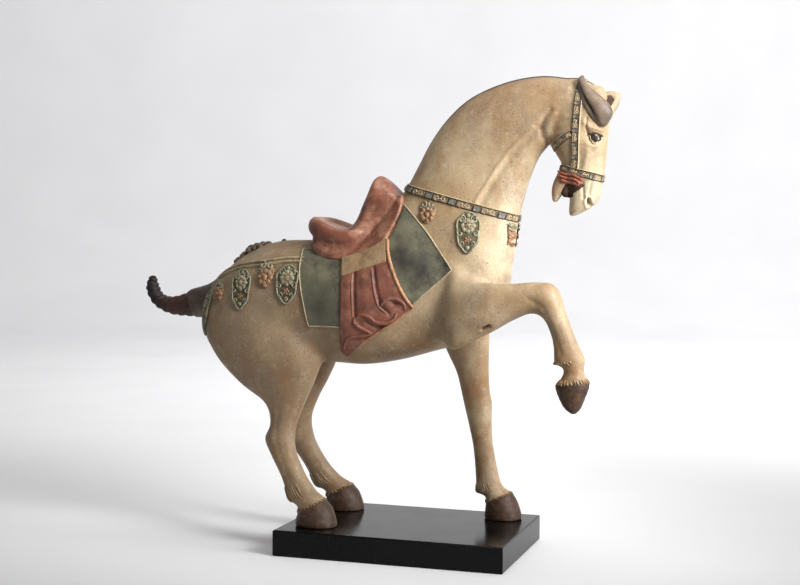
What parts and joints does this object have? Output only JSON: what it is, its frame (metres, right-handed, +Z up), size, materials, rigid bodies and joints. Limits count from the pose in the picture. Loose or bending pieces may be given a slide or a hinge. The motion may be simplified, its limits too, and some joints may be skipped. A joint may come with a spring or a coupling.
{
  "type": "saddled prancing horse figure in painted earthenware",
  "caption": "Clay figure of a saddled horse prancing with one foreleg raised and its neck arched, on a flat black wooden plinth.",
  "frame": {"origin": "centre of the plinth's underside", "axes": "+X towards the horse's head, +Y to the horse's left, +Z up"},
  "size_m": [0.582, 0.19, 0.549],
  "materials": {
    "painted_clay": "matt cream slip over fired clay, with earth stains and painted saddle and harness",
    "black_lacquer": "satin black lacquer"
  },
  "bodies": {
    "root": {"horse": "painted_clay", "plinth": "black_lacquer"}
  },
  "joints": []
}
